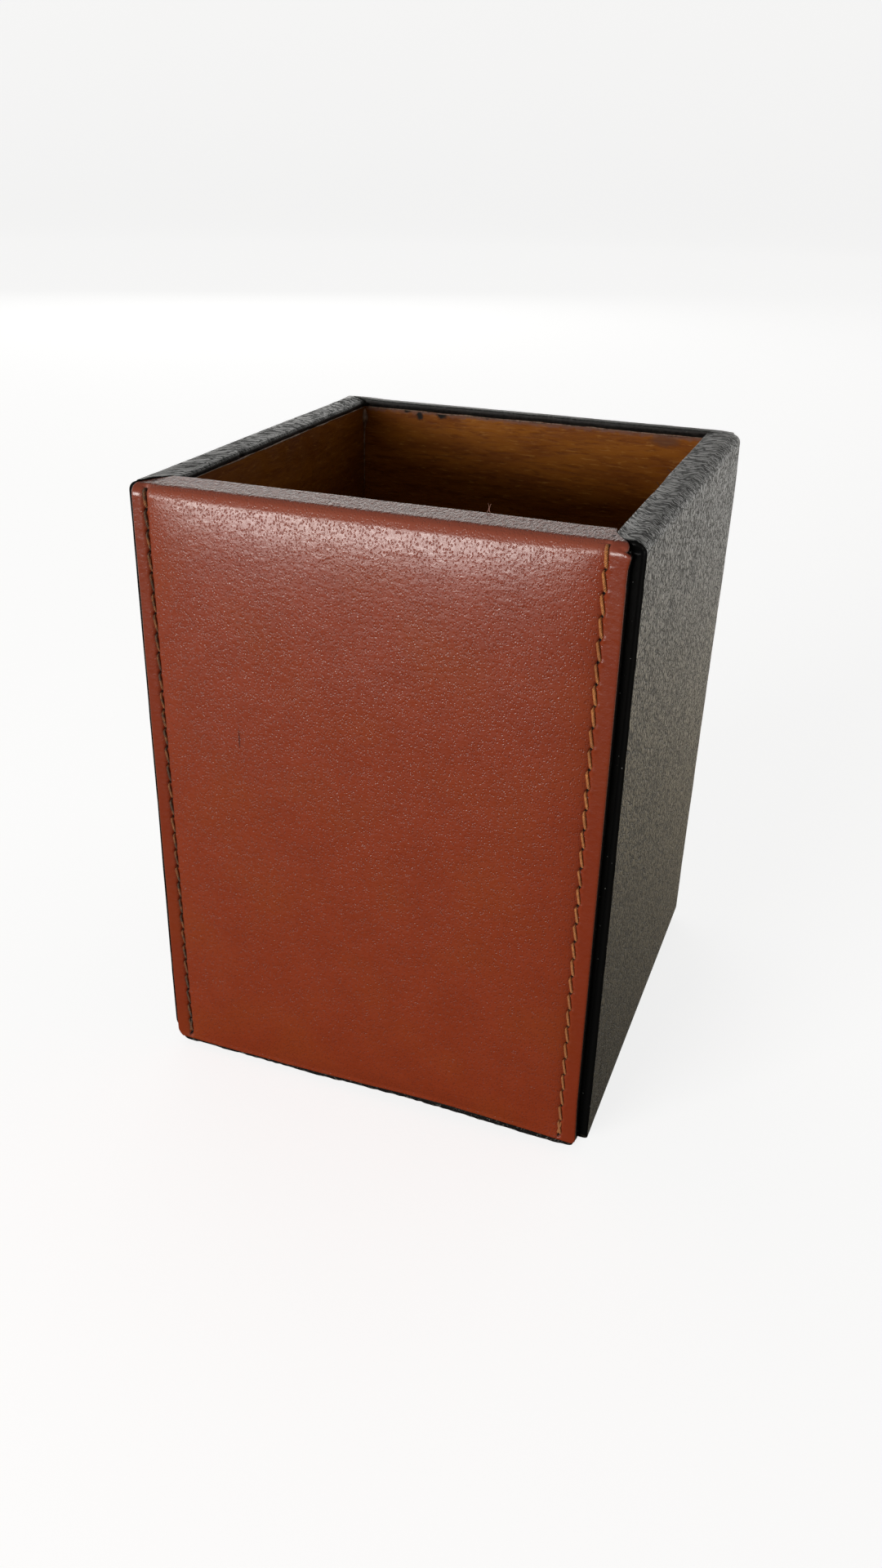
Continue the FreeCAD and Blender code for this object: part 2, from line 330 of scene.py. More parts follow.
def connect(shader, **values):
    for key, value in values.items():
        shader.id_data.links.new(value.socket, shader.inputs[key.replace("_", " ")])


def place_mm(shader, scale=(1, 1, 1)):
    """Where a point is, in millimetres, times scale."""
    found = Value(add_node(shader.id_data, "TexCoord").outputs["Object"])
    return node("Mapping", {"Vector": found, "Scale": [s / MM for s in scale]})


def flat_mm(shader, scale=(1, 1, 1)):
    """Distances along a sheet, in millimetres, times scale."""
    found = Value(add_node(shader.id_data, "UVMap", uv_map=FLAT_MAP).outputs["UV"])
    return node("Mapping", {"Vector": found, "Scale": scale})


def axes(place):
    """The X, Y and Z of a place."""
    made = add_node(place.socket.id_data, "SeparateXYZ", {0: place})
    return [Value(socket) for socket in made.outputs]


def maths(operation, a, b=0.0):
    return node("Math", {0: a, 1: b}, operation=operation)


def vector_maths(operation, a, b):
    return node("VectorMath", {0: a, 1: b}, operation=operation)


def noise_at(place, scale, detail=2.0, roughness=0.5, distortion=0.0):
    return node("TexNoise", {"Vector": place, "Scale": scale, "Detail": detail, "Roughness": roughness,
                             "Distortion": distortion})


def colour_noise(place, scale, detail):
    return node("TexNoise", {"Vector": place, "Scale": scale, "Detail": detail}, "Color")


def voronoi_at(place, scale, feature="F1"):
    return node("TexVoronoi", {"Vector": place, "Scale": scale}, "Distance", feature=feature)


def spread(value, low, high, to_low=0.0, to_high=1.0):
    """Maps low..high to to_low..to_high with soft ends."""
    return node("MapRange", {"Value": value, "From Min": low, "From Max": high, "To Min": to_low,
                             "To Max": to_high}, interpolation_type="SMOOTHSTEP")


def mix(share, *colours):
    """From the first of two colours to the second. A colour is a Value, or red, green and blue."""
    first, second = (colour if isinstance(colour, Value) else (*colour, 1.0) for colour in colours)
    return node("Mix", {0: share, 6: first, 7: second}, 2, data_type="RGBA")


def spot(place, centre, radii):
    """1 at centre, fading to 0 at the edge of an ellipsoid."""
    offset = vector_maths("SUBTRACT", place, centre)
    shrunk = vector_maths("MULTIPLY", offset, [1 / r for r in radii])
    return spread(node("VectorMath", {0: shrunk}, "Value", operation="LENGTH"), 1.0, 0.4)


def bump(height, depth_mm):
    """A normal from a height of 0 to 1 that is depth_mm deep."""
    return node("Bump", {"Height": height, "Distance": depth_mm * MM, "Strength": 1.0})


def warped(place, scale, reach):
    """A place pushed about by slow noise, by up to about half of reach."""
    push = node("VectorMath", {0: colour_noise(place, scale, 2.0), "Scale": reach}, operation="SCALE")
    return vector_maths("ADD", place, push)


def grained(name, pattern, colours, rough, depth, stretch=(1, 1, 1), **values):
    """A material whose colour, roughness and bump follow one pattern, which is made from a place. colours and
    rough hold the pattern's low and high end, and then what it turns into there."""
    material, shader = new_material(name, **values)
    grain = pattern(place_mm(shader, stretch))
    low, high, dull, bright = colours
    connect(shader, Base_Color=mix(spread(grain, low, high), dull, bright), Roughness=spread(grain, *rough))
    if depth:
        connect(shader, Normal=bump(grain, depth))
    return material


# Materials

FAR = 1000.0             # a radius that leaves out one direction
ALONG_X, ALONG_Y = (0.16, 1.0, 1.0), (1.0, 0.16, 1.0)      # the ways that wood grain runs
NEAR_BLACK = (0.006, 0.005, 0.005)
HOLE_SLANT = 0.45
HOLE_RADII = (0.3, 0.62, 1.0)
SCRATCH = (-20.3, PANEL_FACE, 63.5)

# Black dye on the back board: x and z of each blot, and how far it reaches
DYE_BLOTS = [((-23.2, 99.6), (1.2, 0.8)), ((-20.8, 98.7), (0.9, 1.1)), ((-16.3, 99.5), (1.6, 1.4)),
             ((-28.0, 99.8), (2.4, 0.8)), ((-7.5, 99.8), (1.6, 0.7))]
GLUE_SMUDGE = (26.0, CAVITY_BACK, 98.4)


def right_of_seam(flat, ends):
    """Distance to the right of a seam on the flat sheet, and the distance along the sheet."""
    across, along, _ = axes(flat)
    seam = along * ((ends[1] - ends[0]) / (TOP - PANEL_BOTTOM)) + ends[0]
    return across - seam, along


def seam_holes(flat, ends):
    """1 in the needle holes of a seam, which are small slits that slant to the right as they rise."""
    off, along = right_of_seam(flat, ends)
    step = maths("DIVIDE", along - (LOWEST_STITCH - STITCH_GAP / 2), STITCH_PITCH)
    up = (step - node("Math", {0: step}, operation="ROUND")) * STITCH_PITCH
    place = node("CombineXYZ", {0: off - up * HOLE_SLANT, 1: up, 2: 0.0})
    return spot(place, (0.0, 0.0, 0.0), HOLE_RADII)


def red_leather():
    """Red-brown full-grain leather: small pores, darkened with painted shade, in a smooth finish that waves a
    little. It is calmer outside the seams, and drawn into wrinkles on the rim. The ridge and the rim are
    lightened pink with painted sheen, and the rim's wrinkle hollows are darkened with painted shade."""
    material, shader = new_material("red_leather", Specular_IOR_Level=0.5)
    flat = flat_mm(shader)
    _, along, _ = axes(flat)
    beyond_right = spread(right_of_seam(flat, SEAM_RIGHT)[0], 0.1, 0.8)
    beyond_left = spread(right_of_seam(flat, SEAM_LEFT)[0], -0.1, -0.8)
    border = maths("MAXIMUM", beyond_left, beyond_right)
    on_rim = spread(along, FRONT_LENGTH + 1.5, FRONT_LENGTH + 2.8)
    kept = 1.0 - border * 0.8
    some = spread(noise_at(flat, 1.1), 0.35, 0.6, 0.7, 1.0)
    bent = warped(flat_mm(shader, (1.0, 0.75, 1.0)), 1.6, 0.4)
    pores = spread(voronoi_at(bent, 3.2), 0.46, 0.14) * some * kept
    waves = noise_at(flat_mm(shader, (0.8, 1.3, 1.0)), 1.0, 2.0, 0.5, 0.3)
    fine = noise_at(flat, 4.2, 3.0, 0.6) * kept
    wrinkles = noise_at(flat_mm(shader, (1.0, 0.45, 1.0)), 1.9, 2.0, 0.6, 0.5) * on_rim
    height = pores * -0.036 + waves * 0.045 + fine * 0.016 + wrinkles * 0.4
    base = mix(spread(noise_at(flat, 0.16), 0.3, 0.7), (0.232, 0.033, 0.010), (0.25, 0.037, 0.012))
    warm = spread(noise_at(flat, 0.07, 1.0), 0.45, 0.7)
    # The ridge and the rim get a lighter pink: painted sheen, not wear.
    painted_ridge_sheen = spread(along, FRONT_LENGTH - 0.8, FRONT_LENGTH + 0.8, 0.0, 0.6)
    # The rim's wrinkle hollows are darkened: painted shade.
    painted_wrinkle_shade = spread(wrinkles, 0.56, 0.44) * on_rim
    scratch = spot(place_mm(shader), SCRATCH, (0.22, FAR, 2.0))
    # The pores tint darkens the pits: painted shade.
    tints = [(warm * 0.5, (0.25, 0.043, 0.010)), (pores * 0.4, (0.1, 0.01, 0.005)),
             (painted_ridge_sheen, (0.33, 0.1, 0.065)), (on_rim * 0.6, (0.36, 0.1, 0.06)),
             (painted_wrinkle_shade * 0.5, (0.08, 0.012, 0.008)), (border * 0.3, (0.13, 0.014, 0.005)),
             (scratch * 0.75, (0.05, 0.01, 0.008))]
    for share, colour in tints:
        base = mix(share, base, colour)
    rough = spread(some, 0.7, 1.0, 0.24, 0.3) + on_rim * 0.1 + border * -0.04
    for ends in (SEAM_LEFT, SEAM_RIGHT):
        holes = seam_holes(flat, ends)
        # The needle holes are painted near black: painted shade in the holes.
        base = mix(holes, base, (0.006, 0.003, 0.002))
        rough = maths("MAXIMUM", rough, holes)
    connect(shader, Base_Color=base, Roughness=rough, Normal=bump(height, 1.0))
    return material


def black_leather():
    """Black leather whose fine wavy creases run up the walls and, pulled longer, over the rim, with painted
    shade in the creases. Smoother on the back's rim, which is lightened grey with painted sheen."""
    material, shader = new_material("black_leather", Specular_IOR_Level=0.5)
    flat = flat_mm(shader)
    across, up, _ = axes(flat)
    wall_part = maths("MINIMUM", up, RIM_FROM) * 0.8
    rim_part = maths("MAXIMUM", up - RIM_FROM, 0.0) * 0.35
    bent = warped(node("CombineXYZ", {0: across * 1.15, 1: wall_part + rim_part, 2: 0.0}), 0.5, 1.4)
    contour = noise_at(bent, 0.85, 2.0, 0.55, 0.5)
    lines = spread(maths("ABSOLUTE", contour - 0.5), 0.045, 0.0)
    cells = spread(voronoi_at(bent, 1.1, "DISTANCE_TO_EDGE"), 0.12, 0.0)
    _, depth, level = axes(place_mm(shader))
    on_top = spread(level, TOP - 1.8, TOP - 0.6)
    kept = 1.0 - spread(depth, CAVITY_BACK - 0.4, CAVITY_BACK + 0.4) * on_top * 0.75
    creases = maths("MAXIMUM", lines, cells) * kept
    height = creases * -0.1 + noise_at(flat, 1.6, 3.0, 0.6) * kept * 0.035 + contour * kept * 0.07
    # The back's rim is lightened grey: painted sheen, not rubbing.
    painted_back_rim_sheen = spread(depth, CAVITY_BACK + 0.5, CAVITY_BACK + 1.4) * on_top
    base = mix(spread(noise_at(flat, 0.12), 0.3, 0.7), (0.022, 0.021, 0.019), (0.032, 0.031, 0.028))
    # The creases are darkened: painted shade in the hollows.
    base = mix(creases, base, (0.003, 0.003, 0.003))
    base = mix(painted_back_rim_sheen, base, (0.11, 0.11, 0.1))
    rough = spread(creases, 0.0, 1.0, 0.34, 0.7)
    connect(shader, Base_Color=base, Roughness=rough, Normal=bump(height, 1.0))
    return material


def edge_paint():
    """Black dye on the cut edges of the leather."""
    return grained("edge_paint", lambda place: noise_at(place, 2.2, 4.0, 0.65),
                   (0.35, 0.75, NEAR_BLACK, (0.02, 0.017, 0.014)), (0.2, 0.8, 0.35, 0.6), 0.12,
                   Specular_IOR_Level=0.25)


def raw_edge():
    """Undyed cut edge of the red leather: matt, fibrous brown."""
    return grained("raw_leather_edge", lambda place: noise_at(place, 1.6, 4.0, 0.7),
                   (0.3, 0.7, (0.07, 0.02, 0.01), (0.2, 0.07, 0.035)), (0.2, 0.8, 0.7, 0.9), 0.15,
                   (1.0, 1.0, 2.5), Specular_IOR_Level=0.2)


def gloss_black():
    """Glossy black coat with small grey specks."""
    material, shader = new_material("gloss_black_edge", Specular_IOR_Level=0.05)
    ripple = noise_at(place_mm(shader, (1.0, 1.0, 0.35)), 0.7, 3.0, 0.6)
    speck = spread(voronoi_at(place_mm(shader), 0.9), 0.09, 0.03)
    connect(shader, Base_Color=mix(speck, (0.004, 0.004, 0.004), (0.2, 0.2, 0.19)),
            Roughness=spread(ripple, 0.3, 0.7, 0.18, 0.3), Normal=bump(ripple, 0.08))
    return material


def varnished_wood(name, stretch, tone):
    """Brown-stained wood under a thin varnish, with its shader and colour. stretch is small along the grain,
    and tone darkens the whole colour; the side boards' lower tone is painted shade."""
    material, shader = new_material(name, Specular_IOR_Level=0.1)

    def grain(scale, *settings):
        return noise_at(place_mm(shader, [scale * s for s in stretch]), 1.0, *settings)

    def toned(*colour):
        return [tone * part for part in colour]

    lines = grain(1.5, 4.0, 0.65, 0.5)
    bands = spread(grain(0.3, 5.0, 0.6, 0.8), 0.3, 0.7)
    flecks = spread(grain(2.6, 3.0, 0.6, 0.3), 0.55, 0.72)
    base = mix(bands, toned(0.3, 0.08, 0.004), toned(0.46, 0.145, 0.008))
    base = mix(spread(lines, 0.55, 0.3) * 0.6, base, (0.12, 0.025, 0.002))
    base = mix(flecks * 0.4, base, toned(0.8, 0.36, 0.07))
    rough = spread(noise_at(place_mm(shader), 0.3), 0.3, 0.7, 0.35, 0.55)
    connect(shader, Base_Color=base, Roughness=rough, Normal=bump(lines, 0.06))
    return material, shader, base


def back_board_wood():
    """The back board, with blots of black dye and one smudge where the leather was glued down."""
    material, shader, base = varnished_wood("stained_wood_back", ALONG_X, 0.74)
    place = place_mm(shader)
    ragged = vector_maths("ADD", place, colour_noise(place, 1.1, 3.0))
    worn_top = spread(axes(ragged)[2], WOOD_TOP - 0.4, WOOD_TOP + 0.3, 0.0, 0.8)
    base = mix(worn_top, base, (0.2, 0.1, 0.075))
    for (x, z), (wide, tall) in DYE_BLOTS:
        base = mix(spot(ragged, (x, CAVITY_BACK, z), (wide, FAR, tall)), base, (0.012, 0.01, 0.008))
    base = mix(spot(ragged, GLUE_SMUDGE, (3.4, FAR, 1.5)) * 0.7, base, (0.13, 0.055, 0.03))
    connect(shader, Base_Color=base)
    return material


def base_felt():
    """The black fibre pad, with grey fibres showing at its rough cut edge."""
    return grained("base_felt", lambda place: noise_at(place, 1.8, 5.0, 0.7, 0.8),
                   (0.54, 0.7, NEAR_BLACK, (0.2, 0.19, 0.17)), (0.2, 0.8, 0.65, 0.9), 0.2,
                   Specular_IOR_Level=0.1)


def ochre_thread(name, dye):
    """Waxed ochre thread, duller low down. dye, from 0 to 1, darkens it all as painted shade and blots it
    with black dye.
    """
    material, shader = new_material(name, Sheen_Weight=0.15, Specular_IOR_Level=0.4)
    place = place_mm(shader)
    fibres = noise_at(place_mm(shader, (3.0, 3.0, 1.2)), 2.4, 3.0, 0.6)
    # A higher dye value darkens the whole thread: painted shade for a sunk seam.
    tone = 1.15 - 0.45 * dye
    dull = [tone * part for part in (0.26, 0.085, 0.018)]
    bright = [tone * part for part in (0.56, 0.22, 0.06)]
    base = mix(spread(fibres, 0.35, 0.7), dull, bright)
    base = mix(spread(noise_at(place, 0.25), 0.45, 0.75), base, dull)
    base = mix(spread(axes(place)[2], 60.0, 12.0, 0.0, 0.55), base, dull)
    blots = spread(noise_at(place, 0.75, 3.0, 0.6), 0.4, 0.56, 0.0, 0.85 * dye)
    base = mix(blots, base, (0.03, 0.022, 0.012))
    connect(shader, Base_Color=base, Roughness=spread(fibres, 0.2, 0.8, 0.4, 0.6), Normal=bump(fibres, 0.05))
    return material


def foam():
    return grained("foam", lambda place: voronoi_at(place, 2.2),
                   (0.2, 0.6, (0.6, 0.56, 0.44), (0.78, 0.74, 0.63)), (0.0, 0.6, 0.8, 0.95), 0.2,
                   Subsurface_Weight=0.1, Specular_IOR_Level=0.2)


def grey_card():
    return grained("grey_card", lambda place: noise_at(place, 1.1, 5.0, 0.7),
                   (0.35, 0.7, (0.3, 0.28, 0.25), (0.5, 0.48, 0.44)), (0.2, 0.8, 0.8, 0.95), 0.05,
                   Specular_IOR_Level=0.2)


def pin_steel():
    return grained("pin_steel", lambda place: noise_at(place, 2.0, 3.0),
                   (0.3, 0.7, (0.45, 0.45, 0.46), (0.62, 0.62, 0.62)), (0.2, 0.8, 0.25, 0.4), 0.01,
                   (0.3, 0.3, 4.0), Metallic=1.0)


def dried_glue():
    """Pale, slightly clear glue that squeezed out and dried."""
    return grained("dried_glue", lambda place: noise_at(place, 1.4, 3.0, 0.6),
                   (0.3, 0.7, (0.1, 0.045, 0.022), (0.3, 0.18, 0.12)), (0.2, 0.8, 0.3, 0.5), 0.06,
                   Specular_IOR_Level=0.5, Subsurface_Weight=0.3, Subsurface_Scale=0.001)


def fibre(name, colour):
    darker = [0.6 * part for part in colour]
    return grained(name, lambda place: noise_at(place, 2.0), (0.3, 0.7, darker, colour), (0.2, 0.8, 0.5, 0.8),
                   None, Specular_IOR_Level=0.3)


# Red-brown front leather

EDGE_LINES = (0.0, 0.04, 0.12, EDGE_ROUND)

# The V between the front and the folded flap, as distance along the sheet past the start of the ridge, and x
NOTCH_PAST, NOTCH_X = 0.75, 35.2
NOTCH_END = 34.1

# The ends of the folded flap, in the same way
FLAP_RIGHT = [(-4.0, 35.7), (-1.5, 35.75), (-0.1, 36.0), (0.35, 35.9), (0.6, 35.55), (NOTCH_PAST, NOTCH_X),
              (0.9, 35.5), (1.7, 35.5), (2.6, 35.15), (4.6, 33.8), (6.6, 32.7), (8.3, CAVITY_RIGHT - 0.1)]
FLAP_LEFT = [(-4.0, PANEL_LEFT), (1.5, PANEL_LEFT), (3.0, -36.4), (5.2, -35.4), (8.3, -33.6)]


def lean(ends, z):
    """x of a leaning line at height z, from its x at the panel's bottom and top."""
    share = (z - PANEL_BOTTOM) / (TOP - PANEL_BOTTOM)
    return ends[0] + share * (ends[1] - ends[0])


def height_at(along):
    """Height of a point of the front's flat part, and of the ridge for points past it."""
    return np.minimum(PANEL_BOTTOM + along, TOP)


def panel_right(along):
    past = along - FRONT_LENGTH
    flap = np.interp(past, *zip(*FLAP_RIGHT))
    straight = lean((PANEL_RIGHT, PANEL_RIGHT - PANEL_LEAN), height_at(along))
    straight = straight + 0.25 * fading(along, 9) - 0.6 * fading(along, 0.9) ** 2
    return np.where(past < FLAP_RIGHT[0][0], straight, flap)


def panel_left(along):
    past = along - FRONT_LENGTH
    eased = 0.9 * fading(along, 1.6) ** 2          # the bottom left corner is eased
    wavy = 0.06 * noise(along * 0.15, 0.5, 3)
    return np.interp(past, *zip(*FLAP_LEFT)) + eased + wavy * smooth(-past / 3)


# The padded field between the seams, blown up as cloth

FIELD_LOW = 1.0                          # distance along the sheet at which the foam starts to lift it
FIELD_HIGH = FRONT_LENGTH + 0.5
CLOTH_COLUMNS, CLOTH_ROWS = 40, 56
CLOTH_SCALE = 0.02                       # metres for each millimetre, a size that the solver is steady at
CLOTH_PRESSURE = 2.0
CLOTH_FRAMES = 25
WAVES = 12
FOAM_RESIST = 1.08                       # mm of free rise at which the foam starts to hold it back


def blown_up_field():
    """How far a sheet rises, in millimetres, when it is held all round and pressed out. A grid of heights."""
    width = SEAM_RIGHT[0] - SEAM_LEFT[0]
    x, z = np.meshgrid(np.linspace(0, width, CLOTH_COLUMNS), np.linspace(FIELD_LOW, FIELD_HIGH, CLOTH_ROWS))
    points = together(x, 0.0, z).reshape(-1, 3) * CLOTH_SCALE
    index = np.arange(x.size).reshape(x.shape)
    mesh = bpy.data.meshes.new("cloth_field")
    mesh.from_pydata(points.tolist(), [], quads(index))
    field = add_object("cloth_field", mesh)
    held = np.concatenate([index[0], index[-1], index[:, 0], index[:, -1]])
    field.vertex_groups.new(name="held").add(held.tolist(), 1.0, "REPLACE")
    cloth = field.modifiers.new("cloth", "CLOTH")
    cloth.collision_settings.use_collision = False
    cloth.settings.vertex_group_mass = "held"
    cloth.settings.use_pressure = True
    cloth.settings.uniform_pressure_force = CLOTH_PRESSURE
    cloth.settings.effector_weights.gravity = 0
    cloth.settings.air_damping = 5
    for frame_number in range(1, CLOTH_FRAMES + 1):
        bpy.context.scene.frame_set(frame_number)
    settled = field.evaluated_get(bpy.context.evaluated_depsgraph_get()).data
    places = np.empty(3 * len(points))
    settled.vertices.foreach_get("co", places)
    bpy.data.objects.remove(field)
    bpy.data.meshes.remove(mesh)
    bpy.context.scene.frame_set(1)
    return -places.reshape(CLOTH_ROWS, CLOTH_COLUMNS, 3)[:, :, 1] / CLOTH_SCALE


def sines(share):
    return np.sin(np.pi * np.arange(1, WAVES + 1) * np.asarray(share)[..., None])


def field_waves():
    """The blown-up field as a sum of sine waves, which is smooth between the points of its grid."""
    across = sines(np.linspace(0, 1, CLOTH_COLUMNS))
    up = sines(np.linspace(0, 1, CLOTH_ROWS))
    cells = (CLOTH_COLUMNS - 1) * (CLOTH_ROWS - 1)
    return 4 / cells * up.T @ blown_up_field() @ across


FIELD_WAVES = field_waves()


def crown_at(x, along):
    """How far the foam lifts the leather: the field's free rise, held back by the foam's thickness."""
    z = height_at(along)
    left, right = lean(SEAM_LEFT, z), lean(SEAM_RIGHT, z)
    across = np.clip((x - left) / (right - left), 0, 1)
    up = np.clip((along - FIELD_LOW) / (FIELD_HIGH - FIELD_LOW), 0, 1)
    rise = np.sum((sines(up) @ FIELD_WAVES) * sines(across), axis=-1)
    uneven = 1 + 0.05 * noise(x / 14, along / 14, 11)
    return CROWN * 1.12 * (1 - np.exp(-rise / FOAM_RESIST)) * uneven


def stitch_spans():
    """Both ends of each stitch, as distance along the sheet. The top one goes over the ridge."""
    starts = [LOWEST_STITCH + i * STITCH_PITCH for i in range(STITCHES)]
    spans = [(low, low + STITCH_PITCH - STITCH_GAP) for low in starts]
    return spans[:-1] + [(starts[-1], FRONT_LENGTH + TOP_STITCH_REACH)]


HOLE_DEPTH = 0.6
GROOVE_DEPTH = 0.16


def seam_dip(x, along, ends, foam_side):
    """How deep a seam pulls the leather in. foam_side is 1 if the foam is to the right of the seam."""
    off = x - lean(ends, height_at(along))
    spans = stitch_spans()
    inside = smooth((along - spans[0][0] + 0.8) / 0.8) * smooth((spans[-1][1] + 0.5 - along) / 0.6)
    furrow = GROOVE_DEPTH * bell(off, 0.4) + 0.1 * bell(off, 1.1)
    if foam_side > 0:
        furrow = furrow + 0.34 * bell(off - 0.15, 0.34)      # the left seam folds in beside the foam
    dip = furrow * inside
    for low, _ in spans:
        up = along - (low - STITCH_GAP / 2)
        slant = off - HOLE_SLANT * up
        dip = dip + HOLE_DEPTH * bell(slant, 0.17) * bell(up, 0.38)
        dip = dip - 0.09 * bell(off - 0.55, 0.3) * bell(up - 0.1, 0.42) * inside
    return dip


def fold_notch(x, along):
    """The V where the rim flap was cut from the front and folded down, at the top right."""
    past = along - FRONT_LENGTH
    across = (past - NOTCH_PAST) - 0.45 * (NOTCH_X - x)
    reach = smooth((x - NOTCH_END) / 0.5)
    return 0.35 * bell(across, 0.12) * reach


def leather_relief(x, along):
    """Slow unevenness of the sheet, and short pulled creases just under the ridge."""
    past = FRONT_LENGTH + ARC_LENGTH * 0.5 - along
    creases = noise(x / 0.75, along / 3.2, 21) * bell(past - 2.5, 3.0)
    pebble = noise(x / 1.15, along / 1.15, 22)
    waves = noise(x / 7, along / 9, 23)
    return 0.02 * creases + 0.007 * pebble + 0.035 * waves


def red_grid():
    """x and distance along the sheet for every point of the front leather's grid."""
    flat_step, rim_step = 0.275, 0.36
    body = np.arange(EDGE_ROUND + flat_step, FRONT_LENGTH, flat_step)
    arc = FRONT_LENGTH + ARC_LENGTH * np.arange(0, 10) / 10
    rim = np.arange(FRONT_LENGTH + ARC_LENGTH, SHEET_LENGTH - EDGE_ROUND - 0.1, rim_step)
    ends = [SHEET_LENGTH - e for e in reversed(EDGE_LINES)]
    along = np.concatenate([EDGE_LINES, body, arc, rim, ends])[:, None]
    left, right = panel_left(along), panel_right(along)
    z = height_at(along)
    on_rim = smooth((along - FRONT_LENGTH - ARC_LENGTH) / 2)
    seam_l = lean(SEAM_LEFT, z) * (1 - on_rim) + (left + 1.9) * on_rim
    seam_r = lean(SEAM_RIGHT, z) * (1 - on_rim) + (right - 2.2) * on_rim
    near = np.arange(-1.15, 1.2, 0.135)[None, :]
    edge = np.array(EDGE_LINES)[None, :]

    def between(a, b, count):
        share = (np.arange(1, count + 1) / (count + 1))[None, :]
        return a + (b - a) * share

    x = np.concatenate([
        left + edge,
        between(left + EDGE_ROUND, seam_l + near[0, 0], 3),
        seam_l + near,
        between(seam_l + near[0, -1], seam_r + near[0, 0], 104),
        seam_r + near,
        between(seam_r + near[0, -1], right - EDGE_ROUND, 4),
        right - edge[:, ::-1],
    ], axis=1)
    return x, np.broadcast_to(along, x.shape)


def hand_trim(x):
    """How much higher than straight the red leather's bottom edge was cut."""
    return 0.95 * bell(x - 14, 20) + 0.06 * noise(x / 3, 0.5, 24)


def on_sheet(x, along, lift):
    """Points of the bent sheet: up the front, round the ridge and back over the rim, raised by lift."""
    angle = np.clip((along - FRONT_LENGTH) / RIDGE_RADIUS, 0, math.pi / 2)
    past = np.clip(along - FRONT_LENGTH - ARC_LENGTH, 0, None)
    radius = RIDGE_RADIUS + lift
    y = PANEL_FACE + RIDGE_RADIUS - radius * np.cos(angle) + past
    trim = hand_trim(x) * smooth(1 - along / 5)
    z = PANEL_BOTTOM + np.minimum(along, FRONT_LENGTH) + radius * np.sin(angle) + trim
    return together(x, y, z)


def edge_drop(x, along):
    """Rounds the cut edges over."""
    left, right = panel_left(along), panel_right(along)
    gap = np.minimum.reduce([x - left, right - x, along, SHEET_LENGTH - along])
    inside = fading(gap, EDGE_ROUND)
    return EDGE_ROUND * (1 - np.sqrt(1 - inside ** 2))


def build_front_leather(leather, edge, raw):
    x, along = red_grid()
    crown = crown_at(x, along)
    lift = crown + leather_relief(x, along) - edge_drop(x, along) - fold_notch(x, along)
    lift = lift - seam_dip(x, along, SEAM_LEFT, 1) - seam_dip(x, along, SEAM_RIGHT, -1)
    outer = on_sheet(x, along, lift)
    inner = on_sheet(x, along, crown - LEATHER)
    points, faces, sides = thick_sheet(outer, inner, 3)
    slots = [2 if side in (2, 3) else 1 if side in (4, 5) else 0 for side in sides]
    piece = add_piece("front_leather_skin", points, faces, leather, edge, raw, face_slots=slots)
    set_uv(piece, together(x, along))
    stand_in(piece, "front_leather")


# Black leather wrap

CORNER_CENTRE = 4.0      # from a side's cavity wall out to the centre of the back corners
BACK_CENTRE = CORNER_CENTRE - WALL + BACK_WALL       # the same, from the back's cavity wall
WRAP_EDGE_LINES = (0.0, 0.05, 0.15, 0.3)
CORNER_STEP = 0.15
FOOT_EASE = 0.9          # how far the wrap's front edge draws back at its foot
FOOT_HEIGHT = 2.4
DENT = (-31.2, 12.0)     # y and z of a soft dent in the right wall
PUFF = (-33.5, 38.5)     # x and y of the puffed mitre at the back left
NICK_Y = -12.6           # where the rim's left edge has a nick

# Where the rim's leather ends at the front, as distance out from the cavity wall and y
MITRE_RIGHT = [(0.0, -31.4), (0.3, -32.7), (1.4, -34.7), (2.5, -36.4), (3.0, FRONT)]
MITRE_LEFT = [(0.0, -30.9), (1.3, -31.2), (2.8, -34.2), (3.4, -35.9), (4.0, FRONT)]


def wrap_profile():
    """Distance out from the cavity wall and height of the wrap's outer face, from the tuck under the base, up
    the wall and over the rim, with the outward direction at each point. Also the distance along."""
    low_edge = WALL - BASE_ROUND
    tuck = [(d, LEATHER, 0, -1) for d in np.linspace(WALL - TUCK_WIDTH, low_edge, 6)[:-1]]
    low = [(low_edge + BASE_ROUND * math.cos(a), LEATHER + BASE_ROUND * (1 + math.sin(a)), math.cos(a),
            math.sin(a)) for a in np.linspace(-math.pi / 2, 0, 6)]
    wall = [(WALL, z, 1, 0) for z in np.linspace(LEATHER + BASE_ROUND, TOP - RIM_ROUND, 172)[1:-1]]
    over = WALL - RIM_ROUND
    high = [(over + RIM_ROUND * math.cos(a), TOP - RIM_ROUND * (1 - math.sin(a)), math.cos(a), math.sin(a))
            for a in np.linspace(0, math.pi / 2, 11)]
    ends = WRAP_EDGE_LINES[::-1]
    rim = [(d, TOP, 0, 1) for d in [*np.linspace(over, ends[0], 10)[1:-1], *ends]]
    profile = np.array(tuck + low + wall + high + rim, float)
    steps = np.hypot(np.diff(profile[:, 0]), np.diff(profile[:, 1]))
    return profile, np.concatenate([[0], np.cumsum(steps)])


def behind(d, z):
    """How far outside the back's cavity wall a level path runs that is d outside the side's."""
    if z > WOOD_TOP and d < CORNER_CENTRE:
        return d * BACK_CENTRE / CORNER_CENTRE
    return d - WALL + BACK_WALL


